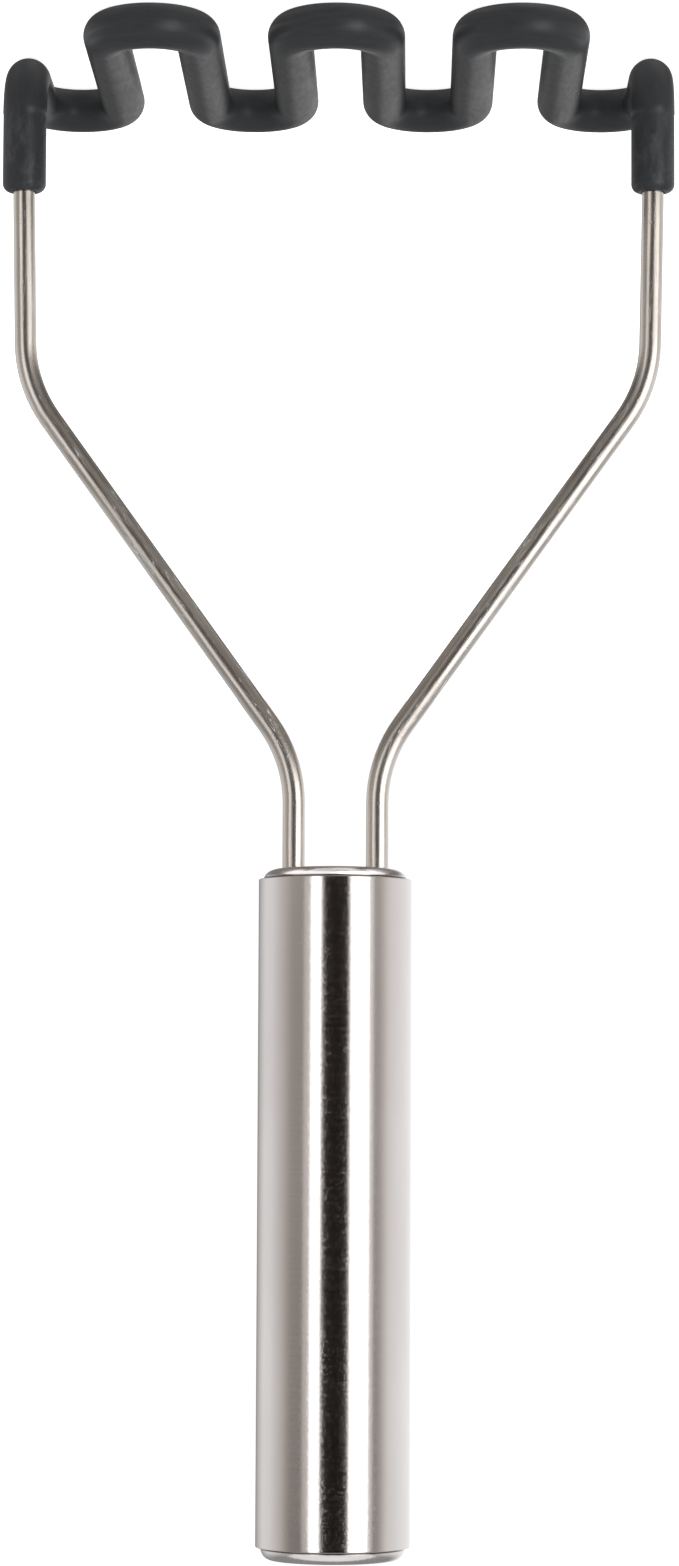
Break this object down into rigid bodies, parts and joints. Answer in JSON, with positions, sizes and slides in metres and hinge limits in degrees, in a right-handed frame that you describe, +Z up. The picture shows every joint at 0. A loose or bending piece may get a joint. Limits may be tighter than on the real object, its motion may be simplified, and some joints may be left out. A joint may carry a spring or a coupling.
{
  "type": "potato masher",
  "caption": "Wire potato masher with a coated serpentine mashing head, two bent steel wire arms and a straight round tube handle closed by pressed caps.",
  "frame": {"origin": "centre of the mashing face's outline, on the plane that it rests on and on the handle's axis", "axes": "+Z up along the handle, away from the mashing face; +X to the right across the bars; -Y towards the side with three bends"},
  "size_m": [0.1222, 0.0732, 0.2724],
  "materials": {
    "coating": "charcoal moulded coating, fine satin texture",
    "wire": "bright drawn stainless wire with fine lengthwise scratches",
    "handle": "satin stainless tube, fine brushing round the tube",
    "cap": "pressed stainless, softly polished",
    "weld": "dull weld bead"
  },
  "bodies": {
    "root": {"head_coating": "coating", "head_core": "wire", "left_arm": "wire", "right_arm": "wire", "handle_tube": "handle", "front_cap": "cap", "end_cap": "cap", "left_weld": "weld", "right_weld": "weld"}
  },
  "joints": []
}
